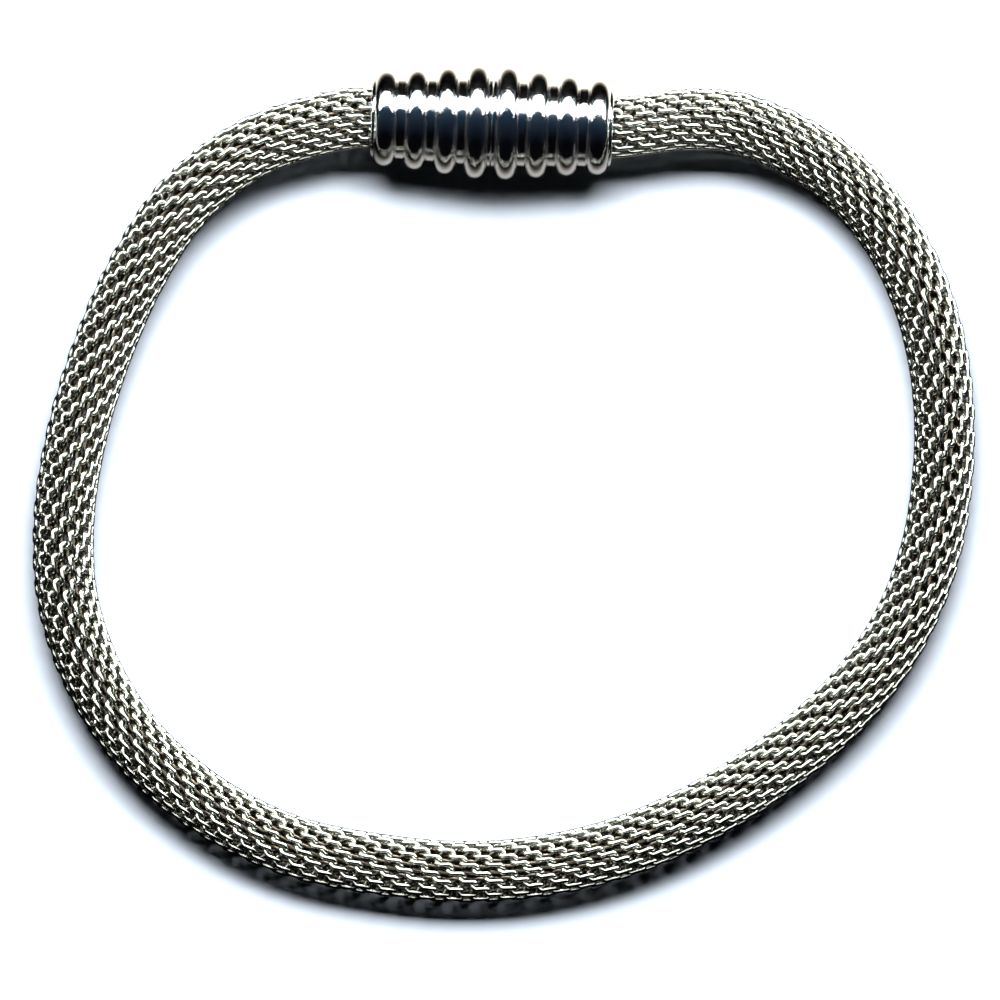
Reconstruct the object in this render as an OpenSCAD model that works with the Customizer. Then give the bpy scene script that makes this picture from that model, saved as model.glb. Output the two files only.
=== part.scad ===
// Mesh bracelet lying flat on the plane z = 0: a hollow tube of woven steel wire, bent into a whole
// loop, with both ends held in a ribbed barrel clasp whose two halves meet at a hidden magnet.
// X runs along the clasp, Y across the loop towards the clasp, Z up. The origin is under the middle
// of the loop.

/* [Mesh tube] */
// Outside diameter of the mesh tube
mesh_d = 4.6; // [4.2:0.05:4.7]
// Thickness of the woven wall
mesh_wall = 0.9; // [0.6:0.05:1.3]
// Flats round the tube
mesh_sides = 16; // [12:4:24]
// Rings in each stretch between two points of the route
mesh_steps = 2; // [1:1:3]

/* [Clasp barrel] */
// Length of the closed clasp
clasp_len = 18; // [17.6:0.1:19]
// Width of one rib, which is also the diameter of its round edge
rib_w = 1.8; // [1.6:0.05:1.9]
// Rib diameter next to the parting line
rib_d_1 = 8.4; // [8:0.05:9]
// Diameter of the second rib
rib_d_2 = 7.95; // [7.6:0.05:8.6]
// Diameter of the third rib
rib_d_3 = 7.45; // [7.2:0.05:8.2]
// Diameter of the rib at the clasp's end
rib_d_4 = 7.1; // [7:0.05:7.8]
// Groove diameter at the parting line
groove_d_middle = 6.6; // [6.2:0.05:6.8]
// Groove diameter at the clasp's end
groove_d_end = 5.8; // [5.6:0.05:6]
// Rounding of the clasp's end edges
end_round = 0.3; // [0.1:0.05:0.35]
// Visible gap at the parting line
parting_gap = 0.1; // [0.05:0.01:0.2]
// Depth of that gap below the groove's floor
parting_depth = 0.4; // [0.2:0.05:0.5]
// Gap between the inner faces of the two halves
face_gap = 0.02; // [0.01:0.01:0.04]

/* [Clasp inside] */
// Depth of the blind bore that holds a mesh end
bore_depth = 5; // [4:0.1:5.5]
// Clearance round the mesh end and the magnet
clearance = 0.1; // [0.05:0.01:0.15]
// Diameter of the magnet
magnet_d = 4.4; // [3:0.1:4.8]
// Length of the magnet
magnet_len = 3; // [2:0.1:4]

/* [Hidden] */
$fn = 48;

// Ribs of one clasp half, from the parting line outwards
rib_d = [rib_d_1, rib_d_2, rib_d_3, rib_d_4];
rib_count = len(rib_d);
rib_pitch = clasp_len / (2 * rib_count);
half_len = clasp_len / 2;
bore_r = mesh_d / 2 + clearance;
magnet_pocket_r = magnet_d / 2 + clearance;
magnet_pocket_depth = magnet_len / 2 + clearance;

// The widest ribs touch the surface, and the mesh lies on it except near the clasp
clasp_at = [-2, 26.9, rib_d_1 / 2];
tube_lying_z = mesh_d / 2;
clasp_lift = clasp_at.z - tube_lying_z;

// The straight part of each mesh end runs from near the bore's bottom to just inside its mouth
bore_bottom_x = half_len - bore_depth + 2 * clearance;
bore_mouth_x = half_len - 2 * clearance;

// Route of the tube's centreline from the clasp's left end round the loop to its right end.
// Columns: x, y, and the share of clasp_lift by which the tube still hangs above its lying height.
loop_route = [
  [-14.2, 26.4, 0.96],
  [-19.8, 24.2, 0.74],
  [-24.6, 20.1, 0.41],
  [-27.9, 14.6, 0.12],
  [-30.2, 8.7, 0.01],
  [-31.8, 2.5, 0],
  [-32.5, -3.8, 0],
  [-31.9, -10.1, 0],
  [-29.5, -16, 0],
  [-25.6, -21, 0],
  [-20.5, -24.8, 0],
  [-14.7, -27.3, 0],
  [-8.4, -28.4, 0],
  [-2, -28.7, 0],
  [4.3, -28, 0],
  [10.4, -26.2, 0],
  [16.1, -23.3, 0],
  [21.3, -19.6, 0],
  [25.9, -15.2, 0],
  [29.5, -10, 0],
  [31.7, -4.1, 0],
  [32.5, 2.2, 0],
  [32.2, 8.6, 0],
  [30.6, 14.8, 0.01],
  [27.5, 20.4, 0.08],
  [22.9, 24.8, 0.35],
  [17.2, 27.4, 0.68],
  [13, 27.8, 0.88],
  [9.6, 27.3, 0.97]
];

function on_axis(x) = clasp_at + [x, 0, 0];
function lifted(row) = [row.x, row.y, tube_lying_z + clasp_lift * row[2]];

tube_points = concat(
  [on_axis(-bore_bottom_x), on_axis(-bore_mouth_x)],
  [for (row = loop_route) lifted(row)],
  [on_axis(bore_mouth_x), on_axis(bore_bottom_x)]
);

// Smooth curve through the points: the tangent at each is half the step between its neighbours,
// and in both bores it lies along the clasp's axis, away from it at the start and into it at the end
last_point = len(tube_points) - 1;
bore_tangent = [bore_bottom_x - bore_mouth_x, 0, 0] / 2;
function point_tangent(i) =
  i < 2 || i > last_point - 2 ? bore_tangent :
  (tube_points[i + 1] - tube_points[i - 1]) / 2;

function curve_point(i, t) =
  tube_points[i] * (2 * t * t * t - 3 * t * t + 1) +
  point_tangent(i) * (t * t * t - 2 * t * t + t) +
  tube_points[i + 1] * (3 * t * t - 2 * t * t * t) +
  point_tangent(i + 1) * (t * t * t - t * t);

function curve_direction(i, t) =
  tube_points[i] * (6 * t * t - 6 * t) +
  point_tangent(i) * (3 * t * t - 4 * t + 1) +
  tube_points[i + 1] * (6 * t - 6 * t * t) +
  point_tangent(i + 1) * (3 * t * t - 2 * t);

function unit(v) = v / norm(v);

// Points of one ring: a circle of radius r square to the curve, with one point straight below it
function ring(i, t, r) =
  let (
    along = unit(curve_direction(i, t)),
    side = unit(cross([0, 0, 1], along)),
    up = cross(along, side)
  )
  [
    for (s = [0 : mesh_sides - 1])
      let (angle = 360 * s / mesh_sides - 90)
        curve_point(i, t) + r * (side * cos(angle) + up * sin(angle))
  ];

function rings(r) = [
  for (i = [0 : last_point - 1], k = [0 : mesh_steps - 1]) ring(i, k / mesh_steps, r),
  ring(last_point - 1, 1, r)
];

// A tube wall swept along the curve as one closed surface: outside rings first, then inside rings
module hollow_tube(outer_r, inner_r) {
  outside = rings(outer_r);
  inside = rings(inner_r);
  ring_total = len(outside);
  inside_start = ring_total * mesh_sides;
  points = [for (set = [outside, inside], one_ring = set, p = one_ring) p];

  function corner(r, s) = r * mesh_sides + s % mesh_sides;
  function quad(a, b, c, d) = [[a, b, c], [a, c, d]];

  outer_faces = [
    for (r = [0 : ring_total - 2], s = [0 : mesh_sides - 1])
      each quad(corner(r, s), corner(r + 1, s), corner(r + 1, s + 1), corner(r, s + 1))
  ];
  inner_faces = [
    for (r = [0 : ring_total - 2], s = [0 : mesh_sides - 1])
      each quad(
        inside_start + corner(r, s), inside_start + corner(r, s + 1),
        inside_start + corner(r + 1, s + 1), inside_start + corner(r + 1, s)
      )
  ];
  start_faces = [
    for (s = [0 : mesh_sides - 1])
      each quad(
        corner(0, s), corner(0, s + 1),
        inside_start + corner(0, s + 1), inside_start + corner(0, s)
      )
  ];
  end_faces = [
    for (s = [0 : mesh_sides - 1])
      each quad(
        corner(ring_total - 1, s + 1), corner(ring_total - 1, s),
        inside_start + corner(ring_total - 1, s), inside_start + corner(ring_total - 1, s + 1)
      )
  ];
  polyhedron(points, concat(outer_faces, inner_faces, start_faces, end_faces));
}

// Groove radius k steps out from the parting line, between its middle and end values
function groove_r(k) =
  groove_d_middle / 2 + (groove_d_end - groove_d_middle) / 2 * k / rib_count;

// Outline of one rib: straight flanks under a round edge
module rib_outline(d) {
  edge_r = rib_w / 2;
  translate([d / 2 - edge_r, 0]) circle(r = edge_r);
  translate([0, -edge_r]) square([d / 2 - edge_r, rib_w]);
}

// Floor of the grooves: one step for each groove, changing height under the ribs
module groove_floor_outline() {
  translate([0, parting_gap / 2]) square([groove_r(0), rib_pitch / 2]);
  translate([0, face_gap / 2]) square([groove_r(0) - parting_depth, rib_pitch / 2]);
  for (k = [1 : rib_count - 1])
    translate([0, (k - 0.5) * rib_pitch]) square([groove_r(k), rib_pitch]);
}

// Collar outside the last rib, with a rounded edge round the mesh
module end_outline() {
  start = (rib_count - 0.5) * rib_pitch;
  end_r = groove_r(rib_count);
  translate([0, start]) square([end_r, half_len - start - end_round]);
  translate([0, start]) square([end_r - end_round, half_len - start]);
  translate([end_r - end_round, half_len - end_round]) circle(r = end_round);
}

// Half clasp standing on its parting face, with the mesh bore at the top
module clasp_half() {
  difference() {
    rotate_extrude()
      intersection() {
        square([clasp_len, half_len]);
        union() {
          groove_floor_outline();
          end_outline();
          for (k = [0 : rib_count - 1])
            translate([0, (k + 0.5) * rib_pitch]) rib_outline(rib_d[k]);
        }
      }
    translate([0, 0, half_len - bore_depth]) cylinder(r = bore_r, h = bore_depth + 1);
    translate([0, 0, -1]) cylinder(r = magnet_pocket_r, h = magnet_pocket_depth + 1);
  }
}

module mesh_tube() {
  color("darkgray") hollow_tube(mesh_d / 2, mesh_d / 2 - mesh_wall);
}

// The half turn about its own axis puts the seam of its surfaces underneath, as on the other half
module clasp_half_left() {
  color("silver") translate(clasp_at) rotate([0, -90, 0]) rotate([0, 0, 180]) clasp_half();
}

module clasp_half_right() {
  color("silver") translate(clasp_at) rotate([0, 90, 0]) clasp_half();
}

module clasp_magnet() {
  color("gainsboro")
    translate(clasp_at) rotate([0, 90, 0])
      cylinder(d = magnet_d, h = magnet_len, center = true);
}

mesh_tube();
clasp_half_left();
clasp_half_right();
clasp_magnet();
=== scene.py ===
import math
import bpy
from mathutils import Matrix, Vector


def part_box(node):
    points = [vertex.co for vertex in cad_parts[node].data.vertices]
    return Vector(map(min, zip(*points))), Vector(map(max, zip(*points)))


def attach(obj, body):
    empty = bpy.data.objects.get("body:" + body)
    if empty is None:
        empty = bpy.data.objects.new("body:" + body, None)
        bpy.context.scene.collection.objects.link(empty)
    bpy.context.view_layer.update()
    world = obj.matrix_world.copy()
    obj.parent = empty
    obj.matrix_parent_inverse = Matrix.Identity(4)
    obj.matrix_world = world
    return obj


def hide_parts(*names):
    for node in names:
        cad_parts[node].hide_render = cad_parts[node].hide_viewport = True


bl_info = {
    "name": "Mesh bracelet",
    "version": (1, 0, 0),
    "blender": (4, 5, 0),
    "location": "View3D > Sidebar > Bracelet",
    "description": "Weaves the wire mesh of a bracelet, finishes its clasp and sets a plain stage",
    "category": "Object",
}

import bpy
import numpy as np
from mathutils import Vector, noise

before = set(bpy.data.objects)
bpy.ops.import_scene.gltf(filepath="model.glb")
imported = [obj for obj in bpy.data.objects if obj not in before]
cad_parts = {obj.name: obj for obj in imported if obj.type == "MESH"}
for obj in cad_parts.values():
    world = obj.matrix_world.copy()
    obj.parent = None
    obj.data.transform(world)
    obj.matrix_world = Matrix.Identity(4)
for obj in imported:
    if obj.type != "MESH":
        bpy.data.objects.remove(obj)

WHOLE_BODY = "root"

CLASP_HALVES = ("clasp_half_left", "clasp_half_right")

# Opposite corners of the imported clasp
CLASP_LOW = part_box("clasp_half_left")[0]
CLASP_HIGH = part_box("clasp_half_right")[1]
CLASP_CENTRE = (CLASP_LOW + CLASP_HIGH) / 2
CLASP_HALF_LENGTH = (CLASP_HIGH.x - CLASP_LOW.x) / 2

# The mesh's ends are straight between these depths in the clasp's bores, in metres
END_DEPTH = 0.0048
MOUTH_DEPTH = 0.0002

# The same two places by their distance from the clasp's middle
BORE_BOTTOM = CLASP_HALF_LENGTH - END_DEPTH
BORE_MOUTH = CLASP_HALF_LENGTH - MOUTH_DEPTH

# Route of the tube's centreline round the loop, in metres, and the share of the clasp's extra
# height by which the tube still hangs above the height at which it lies
LOOP_ROUTE = (
    (-0.0142, 0.0264, 0.96),
    (-0.0198, 0.0242, 0.74),
    (-0.0246, 0.0201, 0.41),
    (-0.0279, 0.0146, 0.12),
    (-0.0302, 0.0087, 0.01),
    (-0.0318, 0.0025, 0),
    (-0.0325, -0.0038, 0),
    (-0.0319, -0.0101, 0),
    (-0.0295, -0.0160, 0),
    (-0.0256, -0.0210, 0),
    (-0.0205, -0.0248, 0),
    (-0.0147, -0.0273, 0),
    (-0.0084, -0.0284, 0),
    (-0.0020, -0.0287, 0),
    (0.0043, -0.0280, 0),
    (0.0104, -0.0262, 0),
    (0.0161, -0.0233, 0),
    (0.0213, -0.0196, 0),
    (0.0259, -0.0152, 0),
    (0.0295, -0.0100, 0),
    (0.0317, -0.0041, 0),
    (0.0325, 0.0022, 0),
    (0.0322, 0.0086, 0),
    (0.0306, 0.0148, 0.01),
    (0.0275, 0.0204, 0.08),
    (0.0229, 0.0248, 0.35),
    (0.0172, 0.0274, 0.68),
    (0.0130, 0.0278, 0.88),
    (0.0096, 0.0273, 0.97),
)


class BraceletWeave(bpy.types.PropertyGroup):
    tube_diameter: bpy.props.FloatProperty(
        name="Tube diameter",
        description="Outside diameter of the woven tube",
        default=0.0046,
        unit="LENGTH",
    )
    wire_diameter: bpy.props.FloatProperty(
        name="Wire diameter",
        description="Thickness of the wire over the corners of its six sides",
        default=0.00035,
        unit="LENGTH",
    )
    coil_thickness: bpy.props.FloatProperty(
        name="Coil thickness",
        description="Distance between the middles of a flattened coil's front bars and back legs",
        default=0.0006,
        unit="LENGTH",
    )
    row_pitch: bpy.props.FloatProperty(
        name="Row pitch",
        description="Step along the tube from one row of coils to the next",
        default=0.000905,
        unit="LENGTH",
    )
    hook_overlap: bpy.props.FloatProperty(
        name="Hook overlap",
        description="How far the coils of two rows reach past each other where they hook together",
        default=0.00048,
        unit="LENGTH",
    )
    front_lean: bpy.props.FloatProperty(
        name="Front lean",
        description="Sideways lean of the straight part of a front bar, against the wire's way "
        "when negative",
        default=-0.00003,
        unit="LENGTH",
    )
    back_lean: bpy.props.FloatProperty(
        name="Back lean",
        description="Sideways lean of the straight part of a back leg, against the wire's way "
        "when negative",
        default=-0.00012,
        unit="LENGTH",
    )
    turns_per_round: bpy.props.FloatProperty(
        name="Turns per round",
        description="Coil turns that the wire makes on its way once round the tube; the half turn "
        "lets each row hook between the turns of the next",
        default=10.5,
    )
    stretch: bpy.props.FloatProperty(
        name="Stretch",
        description="How much wider and closer than average the rows stand along the loop",
        default=0.045,
        subtype="FACTOR",
    )
    stretch_waves: bpy.props.FloatProperty(
        name="Stretch waves",
        description="How often the rows change from wide to close and back round the loop",
        default=3.5,
    )
    squeeze: bpy.props.FloatProperty(
        name="Squeeze",
        description="How much closer the rows stand at the clasp's right end",
        default=0.17,
        subtype="FACTOR",
    )
    unevenness: bpy.props.FloatProperty(
        name="Unevenness",
        description="How far the woven wire strays from its even place",
        default=0.00006,
        unit="LENGTH",
    )
    stray_seed: bpy.props.IntProperty(
        name="Stray seed",
        description="Picks the pattern of the wire's strays, which 0 would change in every run",
        default=1,
        min=1,
    )
    outer_colour: bpy.props.FloatVectorProperty(
        name="Outer colour",
        description="Colour of the wire on the outside of the mesh",
        default=(0.555, 0.58, 0.54),
        subtype="COLOR",
    )
    # Painted shade: the colour the wire darkens to deep in the mesh's wall, where shade falls
    inner_shade_colour: bpy.props.FloatVectorProperty(
        name="Inner colour",
        description="Colour of the dulled wire on the inside of the mesh",
        default=(0.10, 0.088, 0.07),
        subtype="COLOR",
    )
    roughness: bpy.props.FloatProperty(
        name="Roughness",
        description="Roughness of the drawn wire where it is brightest",
        default=0.12,
        subtype="FACTOR",
    )


class BraceletClasp(bpy.types.PropertyGroup):
    steel_colour: bpy.props.FloatVectorProperty(
        name="Steel colour",
        description="Colour of the polished steel",
        default=(0.74, 0.75, 0.77),
        subtype="COLOR",
    )
    nickel_colour: bpy.props.FloatVectorProperty(
        name="Nickel colour",
        description="Colour of the hidden magnet's plating",
        default=(0.70, 0.68, 0.64),
        subtype="COLOR",
    )
    roughness: bpy.props.FloatProperty(
        name="Roughness",
        description="Roughness of the polished steel where it is cleanest",
        default=0.07,
        subtype="FACTOR",
    )


class BraceletStage(bpy.types.PropertyGroup):
    view_width: bpy.props.FloatProperty(
        name="View width",
        description="Width of what the camera sees",
        default=0.0742,
        unit="LENGTH",
    )
    view_centre: bpy.props.FloatVectorProperty(
        name="View centre",
        description="Point of the surface in the middle of the view",
        default=(-0.00023, -0.00104),
        size=2,
        subtype="XYZ",
    )
    view_turn: bpy.props.FloatProperty(
        name="View turn",
        description="Turn of the camera about the vertical",
        default=math.radians(2.4),
        subtype="ANGLE",
    )
    floor_size: bpy.props.FloatProperty(
        name="Floor size",
        description="Width of the floor",
        default=3.0,
        unit="LENGTH",
    )
    key_tilt: bpy.props.FloatProperty(
        name="Key light tilt",
        description="Angle of the key light away from straight above, towards the clasp's side",
        default=math.radians(52),
        subtype="ANGLE",
    )
    key_power: bpy.props.FloatProperty(
        name="Key light power",
        description="Power of the key light",
        default=46.0,
        unit="POWER",
    )
    floor_tilt: bpy.props.FloatProperty(
        name="Floor light tilt",
        description="Angle of the floor's light away from straight above, towards the clasp's side",
        default=math.radians(30),
        subtype="ANGLE",
    )
    floor_power: bpy.props.FloatProperty(
        name="Floor light power",
        description="Power of the floor's light",
        default=40.0,
        unit="POWER",
    )
    soft_tilt: bpy.props.FloatProperty(
        name="Soft light tilt",
        description="Angle of the mesh's soft light away from straight above, towards the "
        "clasp's side",
        default=math.radians(20),
        subtype="ANGLE",
    )
    soft_power: bpy.props.FloatProperty(
        name="Soft light power",
        description="Power of the soft light that only the mesh receives",
        default=13.0,
        unit="POWER",
    )
    # Painted light: how far to each side of the clasp the floor's painted lit strip, seen only in the
    # steel's reflections, reaches
    painted_light_reach: bpy.props.FloatProperty(
        name="Mirrored reach",
        description="How far to each side of the clasp the steel mirrors the floor",
        default=0.036,
        unit="LENGTH",
    )


def hermite(p0, m0, p1, m1, t):
    """Point of the smooth curve between two points with their tangents."""
    return (
        p0 * (2 * t**3 - 3 * t**2 + 1)
        + m0 * (t**3 - 2 * t**2 + t)
        + p1 * (3 * t**2 - 2 * t**3)
        + m1 * (t**3 - t**2)
    )


class TubeLine:
    """Centreline of the tube by its length from the left bore."""

    SAMPLES = 60

    def __init__(self, tube_radius):
        lying = tube_radius
        lift = CLASP_CENTRE.z - lying
        on_axis = [Vector((CLASP_CENTRE.x + x, CLASP_CENTRE.y, CLASP_CENTRE.z))
                   for x in (-BORE_BOTTOM, -BORE_MOUTH, BORE_MOUTH, BORE_BOTTOM)]
        route = [Vector((x, y, lying + lift * share)) for x, y, share in LOOP_ROUTE]
        points = [np.array(p) for p in on_axis[:2] + route + on_axis[2:]]
        last = len(points) - 1
        bore_tangent = np.array(((BORE_BOTTOM - BORE_MOUTH) / 2, 0, 0))
        tangents = [
            bore_tangent if i < 2 or i > last - 2 else (points[i + 1] - points[i - 1]) / 2
            for i in range(last + 1)
        ]
        steps = np.linspace(0, 1, self.SAMPLES, endpoint=False)
        places = [
            hermite(points[i], tangents[i], points[i + 1], tangents[i + 1], t)
            for i in range(last)
            for t in steps
        ]
        self.places = np.array(places + [points[last]])
        gaps = np.linalg.norm(np.diff(self.places, axis=0), axis=1)
        self.lengths = np.concatenate(([0.0], np.cumsum(gaps)))
        self.length = self.lengths[-1]
        self.along = np.gradient(self.places, self.lengths, axis=0)

    def place(self, s, angle, radius):
        """Points at lengths s, at angles from outwards to up, and radius away from the centreline."""
        centre = self.read(self.places, s)
        along = self.read(self.along, s)
        along /= np.linalg.norm(along, axis=1)[:, None]
        inward = np.cross((0, 0, 1), along)
        inward /= np.linalg.norm(inward, axis=1)[:, None]
        up = np.cross(along, inward)
        outward = up * np.sin(angle)[:, None] - inward * np.cos(angle)[:, None]
        return centre + outward * radius[:, None]

    def read(self, values, s):
        """Values of the samples, read between them at lengths s."""
        return np.stack([np.interp(s, self.lengths, values[:, i]) for i in range(3)], axis=1)


# Points on each bend and on each straight part of a coil turn
BEND_STEPS = 5
BAR_STEPS = 2


def coil_turn(weave, turn_width):
    """One turn of a flattened coil: across, along and outward offsets of its points."""
    width = weave.row_pitch + weave.hook_overlap
    bend_r = weave.coil_thickness / 2
    straight = width / 2 - bend_r
    bend_shift = (turn_width - weave.front_lean - weave.back_lean) / 2
    across, along, out = [], [], []
    for k in range(BAR_STEPS):
        t = k / BAR_STEPS
        across.append(weave.front_lean * (t - 0.5))
        along.append(straight * (2 * t - 1))
        out.append(bend_r)
    for k in range(BEND_STEPS):
        t = k / BEND_STEPS
        across.append(weave.front_lean / 2 + bend_shift * t)
        along.append(straight + bend_r * math.sin(math.pi * t))
        out.append(bend_r * math.cos(math.pi * t))
    back_start = weave.front_lean / 2 + bend_shift
    for k in range(BAR_STEPS):
        t = k / BAR_STEPS
        across.append(back_start + weave.back_lean * t)
        along.append(straight * (1 - 2 * t))
        out.append(-bend_r)
    for k in range(BEND_STEPS):
        t = k / BEND_STEPS
        across.append(back_start + weave.back_lean + bend_shift * t)
        along.append(-straight - bend_r * math.sin(math.pi * t))
        out.append(-bend_r * math.cos(math.pi * t))
    return np.array(across), np.array(along), np.array(out)


# Share of the rows before the first place where they stand widest, and how suddenly the last close up
FIRST_WIDE = 0.175
SQUEEZE_POWER = 16


def row_share(weave, share):
    """Where a row stands along the loop, not yet scaled, for the share of rows before it."""
    waves = 2 * math.pi * weave.stretch_waves
    swing = np.sin(waves * (share - FIRST_WIDE)) + math.sin(waves * FIRST_WIDE)
    squeezed = weave.squeeze / SQUEEZE_POWER * share**SQUEEZE_POWER
    return share + weave.stretch / waves * swing - squeezed


# How fast the strays change round the tube and, for each metre, along it
STRAY_CHANGE_ROUND = 1.6
STRAY_CHANGE_ALONG = 500

# Share of a stray that takes the wire inwards; none takes it outwards
INWARD_STRAY = 0.5


def wire_path(weave, line):
    """Points of the coiled wire, and how deep in the tube's wall each lies, from 0 to 1."""
    middle_r = (weave.tube_diameter - weave.wire_diameter - weave.coil_thickness) / 2
    turn_angle = 2 * math.pi / weave.turns_per_round
    turn_width = turn_angle * middle_r
    across, along, out = coil_turn(weave, turn_width)

    turn_advance = weave.row_pitch / weave.turns_per_round
    margin = (weave.row_pitch + weave.hook_overlap + weave.wire_diameter) / 2 + weave.unevenness
    woven_length = line.length - 2 * margin
    turns = round(woven_length / turn_advance)
    across = np.tile(across, turns) / turn_width + np.repeat(np.arange(turns), len(across))
    share = row_share(weave, 1 - across / turns) / row_share(weave, 1.0)
    out = np.tile(out, turns)
    s = margin + woven_length * share + np.tile(along, turns)
    angle = -turn_angle * across

    noise.seed_set(weave.stray_seed)
    strays = np.array([
        noise.noise_vector(Vector((
            math.cos(a) * STRAY_CHANGE_ROUND,
            math.sin(a) * STRAY_CHANGE_ROUND,
            x * STRAY_CHANGE_ALONG,
        )))
        for a, x in zip(angle, s)
    ]) * weave.unevenness
    points = line.place(
        np.clip(s + strays[:, 0], 0, line.length),
        angle + strays[:, 1] / middle_r,
        middle_r + out - np.abs(strays[:, 2]) * INWARD_STRAY,
    )
    return points, 0.5 - out / weave.coil_thickness


# Sides of the drawn wire
WIRE_SIDES = 6


def wire_mesh(name, points, wire_radius):
    """The wire along the points, as a mesh object with closed ends."""
    curve = bpy.data.curves.new(name, "CURVE")
    curve.dimensions = "3D"
    curve.bevel_depth = wire_radius
    curve.bevel_resolution = WIRE_SIDES // 2 - 2
    spline = curve.splines.new("POLY")
    spline.points.add(len(points) - 1)
    spline.points.foreach_set("co", np.c_[points, np.ones(len(points))].ravel())
    spline.use_smooth = True
    wire = bpy.data.objects.new(name, curve)
    bpy.context.scene.collection.objects.link(wire)
    bpy.ops.object.select_all(action="DESELECT")
    wire.select_set(True)
    bpy.context.view_layer.objects.active = wire
    bpy.ops.object.convert(target="MESH")
    bpy.ops.object.mode_set(mode="EDIT")
    bpy.ops.mesh.select_all(action="SELECT")
    bpy.ops.mesh.fill_holes(sides=WIRE_SIDES)
    bpy.ops.object.mode_set(mode="OBJECT")
    return bpy.context.view_layer.objects.active


def set_ramp(node, stops):
    """Sets the positions and colours of a colour ramp."""
    elements = node.color_ramp.elements
    for element, (position, colour) in zip((elements[0], elements[1]), (stops[0], stops[-1])):
        element.position = position
        element.color = (*colour, 1)
    for position, colour in stops[1:-1]:
        elements.new(position).color = (*colour, 1)


def new_material(name):
    """A material with its node tree, its shader and its Object coordinates."""
    material = bpy.data.materials.new(name)
    material.use_nodes = True
    nodes = material.node_tree.nodes
    shader = nodes["Principled BSDF"]
    coordinates = nodes.new("ShaderNodeTexCoord")
    return material, nodes, material.node_tree.links, shader, coordinates.outputs["Object"]


def add_noise(nodes, links, vector, scale, detail):
    """The value of a noise texture with this scale and detail."""
    texture = nodes.new("ShaderNodeTexNoise")
    texture.inputs["Scale"].default_value = scale
    texture.inputs["Detail"].default_value = detail
    links.new(vector, texture.inputs["Vector"])
    return texture.outputs["Fac"]


def add_range(nodes, links, value, from_ends, to_ends):
    """A value mapped from one range to another."""
    mapped = nodes.new("ShaderNodeMapRange")
    mapped.inputs["From Min"].default_value, mapped.inputs["From Max"].default_value = from_ends
    mapped.inputs["To Min"].default_value, mapped.inputs["To Max"].default_value = to_ends
    links.new(value, mapped.inputs["Value"])
    return mapped.outputs["Result"]


def add_relief(nodes, links, height, strength, distance, normal=None):
    """A normal with fine relief, on top of another relief if one is given."""
    relief = nodes.new("ShaderNodeBump")
    relief.inputs["Strength"].default_value = strength
    relief.inputs["Distance"].default_value = distance
    links.new(height, relief.inputs["Height"])
    if normal:
        links.new(normal, relief.inputs["Normal"])
    return relief.outputs["Normal"]


# Wire: the depths in the wall between which its colour darkens as painted shade, its patches and its
# drawing marks
BRIGHT_DEPTH, SHADE_DEPTH = 0.5, 0.9
PATCH_SCALE, PATCH_DETAIL = 900, 3
PATCH_TINTS = ((0.35, (0.78, 0.78, 0.70)), (0.6, (1, 1, 1)))
PATCH_TINT_SHARE = 0.5
PATCH_ENDS = (0.3, 0.7)
PATCH_ROUGHNESS = 0.06
WIRE_MARK_SCALE, WIRE_MARK_DETAIL = 8000, 1
WIRE_MARK_STRENGTH, WIRE_MARK_HEIGHT = 1.0, 0.000012


def wire_steel(weave):
    """Drawn steel wire: bright outside, darkened and warmed on the inside of the mesh as painted shade.
    """
    material, nodes, links, shader, coordinates = new_material("drawn_wire_steel")
    shader.inputs["Metallic"].default_value = 1.0

    # Painted shade: the wire's colour darkens and warms with its depth in the mesh's wall
    depth = nodes.new("ShaderNodeAttribute")
    depth.attribute_name = "depth"
    ramp = nodes.new("ShaderNodeValToRGB")
    outer, inner = tuple(weave.outer_colour), tuple(weave.inner_shade_colour)
    set_ramp(ramp, ((BRIGHT_DEPTH, outer), (SHADE_DEPTH, inner)))
    links.new(depth.outputs["Fac"], ramp.inputs["Fac"])

    patches = add_noise(nodes, links, coordinates, PATCH_SCALE, PATCH_DETAIL)
    tint = nodes.new("ShaderNodeMix")
    tint.data_type = "RGBA"
    tint.blend_type = "MULTIPLY"
    tint.inputs["Factor"].default_value = PATCH_TINT_SHARE
    tints = nodes.new("ShaderNodeValToRGB")
    set_ramp(tints, PATCH_TINTS)
    links.new(patches, tints.inputs["Fac"])
    links.new(ramp.outputs["Color"], tint.inputs["A"])
    links.new(tints.outputs["Color"], tint.inputs["B"])
    links.new(tint.outputs["Result"], shader.inputs["Base Color"])

    rough_ends = (weave.roughness + PATCH_ROUGHNESS, weave.roughness)
    dullness = add_range(nodes, links, patches, PATCH_ENDS, rough_ends)
    links.new(dullness, shader.inputs["Roughness"])

    marks = add_noise(nodes, links, coordinates, WIRE_MARK_SCALE, WIRE_MARK_DETAIL)
    relief = add_relief(nodes, links, marks, WIRE_MARK_STRENGTH, WIRE_MARK_HEIGHT)
    links.new(relief, shader.inputs["Normal"])
    return material


# Clasp: its smudges, its turning marks, which are narrow along X, and its fine pits
SMUDGE_SCALE, SMUDGE_DETAIL = 700, 4
SMUDGE_ENDS = (0.4, 0.75)
SMUDGE_ROUGHNESS = 0.08
TURNING_SCALE = (16000, 300, 300)
TURNING_DETAIL = 2
TURNING_STRENGTH, TURNING_HEIGHT = 0.06, 0.00002
PIT_SCALE, PIT_DETAIL = 12000, 1
PIT_STRENGTH, PIT_HEIGHT = 1.0, 0.00001


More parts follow.
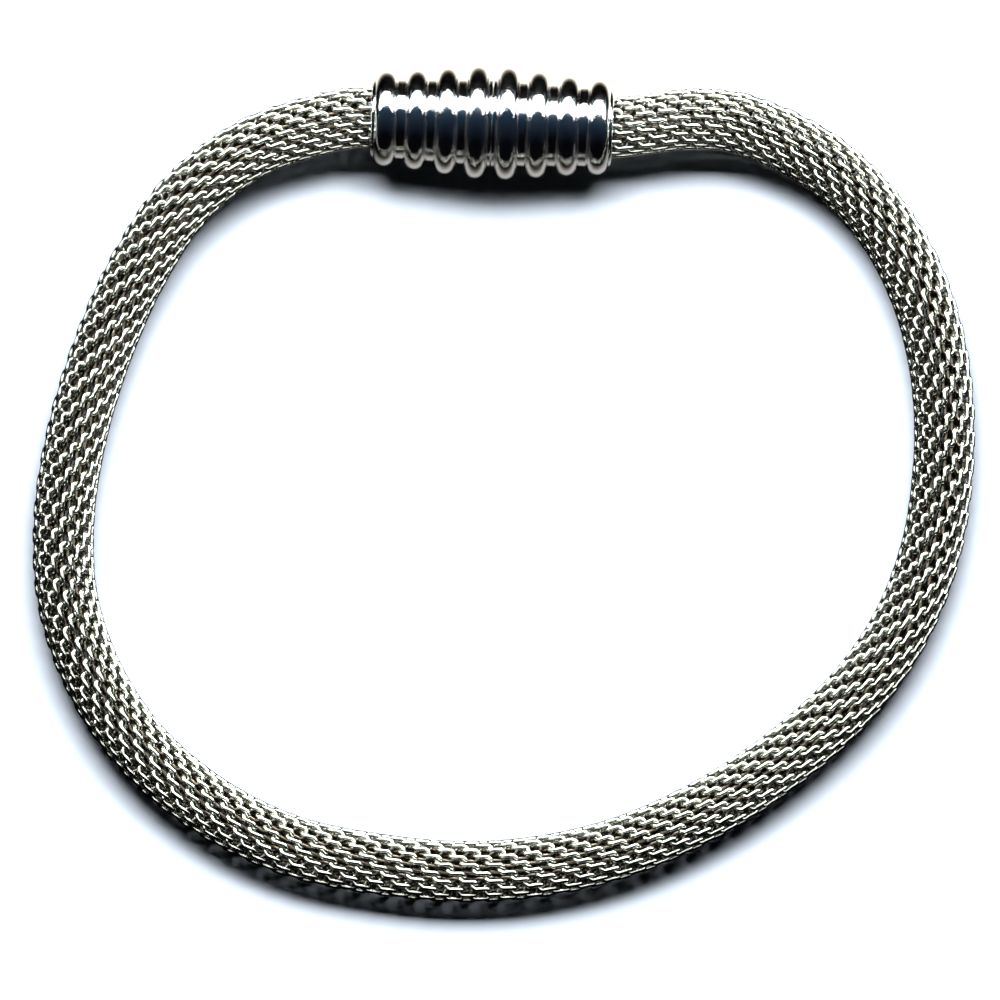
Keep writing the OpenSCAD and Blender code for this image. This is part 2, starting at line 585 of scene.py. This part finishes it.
def polished_steel(name, colour, roughness):
    """Polished turned metal with faint turning marks round the X axis, pits and dull smudges."""
    material, nodes, links, shader, coordinates = new_material(name)
    shader.inputs["Metallic"].default_value = 1.0
    shader.inputs["Base Color"].default_value = (*colour, 1)

    smudges = add_noise(nodes, links, coordinates, SMUDGE_SCALE, SMUDGE_DETAIL)
    rough_ends = (roughness, roughness + SMUDGE_ROUGHNESS)
    dullness = add_range(nodes, links, smudges, SMUDGE_ENDS, rough_ends)
    links.new(dullness, shader.inputs["Roughness"])

    along_axis = nodes.new("ShaderNodeMapping")
    along_axis.inputs["Scale"].default_value = TURNING_SCALE
    links.new(coordinates, along_axis.inputs["Vector"])
    marks = add_noise(nodes, links, along_axis.outputs["Vector"], 1, TURNING_DETAIL)
    turned = add_relief(nodes, links, marks, TURNING_STRENGTH, TURNING_HEIGHT)
    pits = add_noise(nodes, links, coordinates, PIT_SCALE, PIT_DETAIL)
    pitted = add_relief(nodes, links, pits, PIT_STRENGTH, PIT_HEIGHT, turned)
    links.new(pitted, shader.inputs["Normal"])
    return material


def dress(piece, material):
    """Gives a piece this one material."""
    piece.data.materials.clear()
    piece.data.materials.append(material)


class BRACELET_OT_weave_mesh(bpy.types.Operator):
    """Weaves the tube from one coiled wire, each round of which hooks into the round before it"""

    bl_idname = "bracelet.weave_mesh"
    bl_label = "Weave the mesh"

    def execute(self, context):
        weave = context.scene.bracelet_weave
        points, depth = wire_path(weave, TubeLine(weave.tube_diameter / 2))
        steel = wire_steel(weave)
        middle = len(points) // 2
        for name, stretch in (
            ("mesh_weave_right", slice(0, middle + 1)),
            ("mesh_weave_left", slice(middle, None)),
        ):
            wire = wire_mesh(name, points[stretch], weave.wire_diameter / 2)
            values = np.repeat(depth[stretch], WIRE_SIDES).astype(np.float32)
            if len(wire.data.vertices) != len(values):
                raise RuntimeError(f"{name} has {len(wire.data.vertices)} points, not {len(values)}")
            wire.data.attributes.new("depth", "FLOAT", "POINT").data.foreach_set("value", values)
            dress(wire, steel)
            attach(wire, WHOLE_BODY)
            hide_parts("mesh_tube")
        return {"FINISHED"}


class BRACELET_OT_finish_clasp(bpy.types.Operator):
    """Gives the clasp's halves their polished steel and the hidden magnet its plating"""

    bl_idname = "bracelet.finish_clasp"
    bl_label = "Finish the clasp"

    def execute(self, context):
        clasp = context.scene.bracelet_clasp
        steel = polished_steel("polished_clasp_steel", clasp.steel_colour, clasp.roughness)
        nickel = polished_steel("nickel_plating", clasp.nickel_colour, clasp.roughness)
        for name in CLASP_HALVES:
            dress(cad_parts[name], steel)
        dress(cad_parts["clasp_magnet"], nickel)
        return {"FINISHED"}


# Floor: its roughness, its colour, and the painted light and shade that the steel mirrors of it, across
# their reach
FLOOR_ROUGHNESS = 0.9
FLOOR_COLOUR = (0.14, 0.158, 0.183, 1)
PAINTED_FLOOR_LIGHT = (
    (0.1, (0.0005, 0.0005, 0.0005)),
    (0.26, (0.005, 0.0045, 0.004)),
    (0.33, (0.03, 0.028, 0.025)),
    (0.38, (0.065, 0.064, 0.062)),
    (0.42, (0.07, 0.072, 0.072)),
    (0.56, (0.30, 0.29, 0.27)),
    (0.59, (0.17, 0.16, 0.14)),
    (0.62, (0.035, 0.03, 0.024)),
    (0.66, (0.0005, 0.0005, 0.0005)),
)

# Strip lights: their distance, and the width and the length along X of each
LIGHT_DISTANCE = 0.6
LIGHT_COLOUR = (1.0, 0.98, 0.95)
KEY_STRIP = (0.25, 2.4)
SOFT_STRIP = (0.56, 2.4)
FLOOR_STRIP = (0.17, 0.45)

# World: its glow by direction, from along -Y at 0 to along +Y, the clasp's side, at 1
STUDIO_GLOW = (
    (0.2, (0.002, 0.002, 0.003)),
    (0.42, (0.009, 0.016, 0.028)),
    (0.67, (0.016, 0.037, 0.064)),
    (0.73, (0.038, 0.085, 0.13)),
    (0.775, (0.12, 0.20, 0.26)),
    (0.805, (0.34, 0.45, 0.52)),
    (0.83, (0.60, 0.70, 0.75)),
    (0.86, (0.004, 0.004, 0.004)),
)
GLOW_ON_DULL_SURFACES = 0.1
BACKDROP_COLOUR = (0.9, 0.9, 0.9, 1)

CAMERA_HEIGHT = 0.4
CAMERA_CLIP_START = 0.01


class BRACELET_OT_set_stage(bpy.types.Operator):
    """Adds the pale floor, the lights and the camera that looks straight down"""

    bl_idname = "bracelet.set_stage"
    bl_label = "Set the stage"

    def execute(self, context):
        stage = context.scene.bracelet_stage
        floor = self.add_floor(stage)
        self.add_lights(stage, floor)
        self.light_world()
        self.add_camera(context, stage)
        context.scene.view_settings.view_transform = "Standard"
        return {"FINISHED"}

    def add_floor(self, stage):
        """A pale floor on which a lit strip along the clasp is painted, seen only in the steel's
        reflections.
        """
        bpy.ops.object.select_all(action="DESELECT")
        bpy.ops.mesh.primitive_plane_add(size=stage.floor_size)
        floor = bpy.context.active_object
        floor.name = "floor"
        material, nodes, links, shader, coordinates = new_material("pale_floor")
        shader.inputs["Roughness"].default_value = FLOOR_ROUGHNESS
        shader.inputs["Specular IOR Level"].default_value = 0.0

        place = nodes.new("ShaderNodeSeparateXYZ")
        links.new(coordinates, place.inputs[0])
        reach = (CLASP_CENTRE.y - stage.painted_light_reach, CLASP_CENTRE.y + stage.painted_light_reach)
        across = add_range(nodes, links, place.outputs["Y"], reach, (0, 1))
        painted_light_ramp = nodes.new("ShaderNodeValToRGB")
        set_ramp(painted_light_ramp, PAINTED_FLOOR_LIGHT)
        links.new(across, painted_light_ramp.inputs["Fac"])

        # The painted lit strip fades out beyond the clasp's ends
        sideways = nodes.new("ShaderNodeMath")
        sideways.operation = "ABSOLUTE"
        links.new(place.outputs["X"], sideways.inputs[0])
        fade = (CLASP_HALF_LENGTH, 2 * CLASP_HALF_LENGTH)
        near_clasp = add_range(nodes, links, sideways.outputs[0], fade, (1, 0))
        faded = nodes.new("ShaderNodeVectorMath")
        faded.operation = "SCALE"
        links.new(painted_light_ramp.outputs["Color"], faded.inputs[0])
        links.new(near_clasp, faded.inputs["Scale"])

        # Only glossy rays see the painted light; the camera and dull surfaces see the even floor colour
        path = nodes.new("ShaderNodeLightPath")
        seen = nodes.new("ShaderNodeMix")
        seen.data_type = "RGBA"
        seen.inputs["A"].default_value = FLOOR_COLOUR
        links.new(path.outputs["Is Glossy Ray"], seen.inputs["Factor"])
        links.new(faded.outputs["Vector"], seen.inputs["B"])
        links.new(seen.outputs["Result"], shader.inputs["Base Color"])
        dress(floor, material)
        return floor

    def add_lights(self, stage, floor):
        """The key light, the mesh's soft light and the floor's own light, linked to what they light."""
        key = self.add_strip_light("key_light", stage.key_tilt, stage.key_power, KEY_STRIP)
        soft = self.add_strip_light("soft_light", stage.soft_tilt, stage.soft_power, SOFT_STRIP)
        floor_light = self.add_strip_light(
            "floor_light", stage.floor_tilt, stage.floor_power, FLOOR_STRIP
        )
        clasp = [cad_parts[name] for name in CLASP_HALVES]
        for light, pieces, state in (
            (key, [floor], "EXCLUDE"),
            (soft, [floor, *clasp], "EXCLUDE"),
            (floor_light, [floor], "INCLUDE"),
        ):
            receivers = bpy.data.collections.new(light.name + "_receivers")
            for piece in pieces:
                receivers.objects.link(piece)
            for member in receivers.collection_objects:
                member.light_linking.link_state = state
            light.light_linking.receiver_collection = receivers

    def add_strip_light(self, name, tilt, power, strip):
        """A light in a strip along X, tilted towards the clasp's side."""
        direction = Vector((0, math.sin(tilt), math.cos(tilt)))
        bpy.ops.object.light_add(type="AREA", location=direction * LIGHT_DISTANCE)
        light = bpy.context.active_object
        light.name = name
        light.rotation_euler = direction.to_track_quat("Z", "X").to_euler()
        light.data.shape = "RECTANGLE"
        light.data.size, light.data.size_y = strip
        light.data.energy = power
        light.data.color = LIGHT_COLOUR
        return light

    def light_world(self):
        """A glow that the steel mirrors, dimmed on dull surfaces, and a pale backdrop for the camera."""
        world = bpy.data.worlds.new("studio")
        bpy.context.scene.world = world
        world.use_nodes = True
        nodes, links = world.node_tree.nodes, world.node_tree.links
        glow = nodes["Background"]
        direction = nodes.new("ShaderNodeTexCoord")
        parts = nodes.new("ShaderNodeSeparateXYZ")
        links.new(direction.outputs["Generated"], parts.inputs[0])
        blue = nodes.new("ShaderNodeValToRGB")
        set_ramp(blue, STUDIO_GLOW)
        towards_key = add_range(nodes, links, parts.outputs["Y"], (-1, 1), (0, 1))
        links.new(towards_key, blue.inputs["Fac"])
        links.new(blue.outputs["Color"], glow.inputs["Color"])
        pale = nodes.new("ShaderNodeBackground")
        pale.inputs["Color"].default_value = BACKDROP_COLOUR
        path = nodes.new("ShaderNodeLightPath")
        is_diffuse = path.outputs["Is Diffuse Ray"]
        dimmed = add_range(nodes, links, is_diffuse, (0, 1), (1, GLOW_ON_DULL_SURFACES))
        links.new(dimmed, glow.inputs["Strength"])
        choice = nodes.new("ShaderNodeMixShader")
        links.new(path.outputs["Is Camera Ray"], choice.inputs[0])
        links.new(glow.outputs[0], choice.inputs[1])
        links.new(pale.outputs[0], choice.inputs[2])
        links.new(choice.outputs[0], nodes["World Output"].inputs["Surface"])

    def add_camera(self, context, stage):
        """A camera straight above, turned so that the clasp slants as in the photograph."""
        place = (*stage.view_centre, CAMERA_HEIGHT)
        bpy.ops.object.camera_add(location=place, rotation=(0, 0, stage.view_turn))
        camera = bpy.context.active_object
        camera.data.type = "ORTHO"
        camera.data.ortho_scale = stage.view_width
        camera.data.clip_start = CAMERA_CLIP_START
        context.scene.camera = camera


class BRACELET_PT_panel(bpy.types.Panel):
    """Lists the steps that make the bracelet"""

    bl_idname = "BRACELET_PT_panel"
    bl_label = "Mesh bracelet"
    bl_space_type = "VIEW_3D"
    bl_region_type = "UI"
    bl_category = "Bracelet"

    def draw(self, context):
        for step in STEPS:
            self.layout.operator(step.bl_idname)


SETTINGS = (
    ("bracelet_weave", BraceletWeave),
    ("bracelet_clasp", BraceletClasp),
    ("bracelet_stage", BraceletStage),
)
STEPS = (BRACELET_OT_set_stage, BRACELET_OT_weave_mesh, BRACELET_OT_finish_clasp)


def register():
    for name, group in SETTINGS:
        bpy.utils.register_class(group)
        setattr(bpy.types.Scene, name, bpy.props.PointerProperty(type=group))
    for step in STEPS:
        bpy.utils.register_class(step)
    bpy.utils.register_class(BRACELET_PT_panel)


def unregister():
    bpy.utils.unregister_class(BRACELET_PT_panel)
    for step in reversed(STEPS):
        bpy.utils.unregister_class(step)
    for name, group in reversed(SETTINGS):
        delattr(bpy.types.Scene, name)
        bpy.utils.unregister_class(group)


def main():
    """Makes everything in order."""
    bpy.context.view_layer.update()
    register()
    bpy.ops.bracelet.set_stage()
    bpy.ops.bracelet.weave_mesh()
    bpy.ops.bracelet.finish_clasp()


if __name__ == "__main__":
    main()
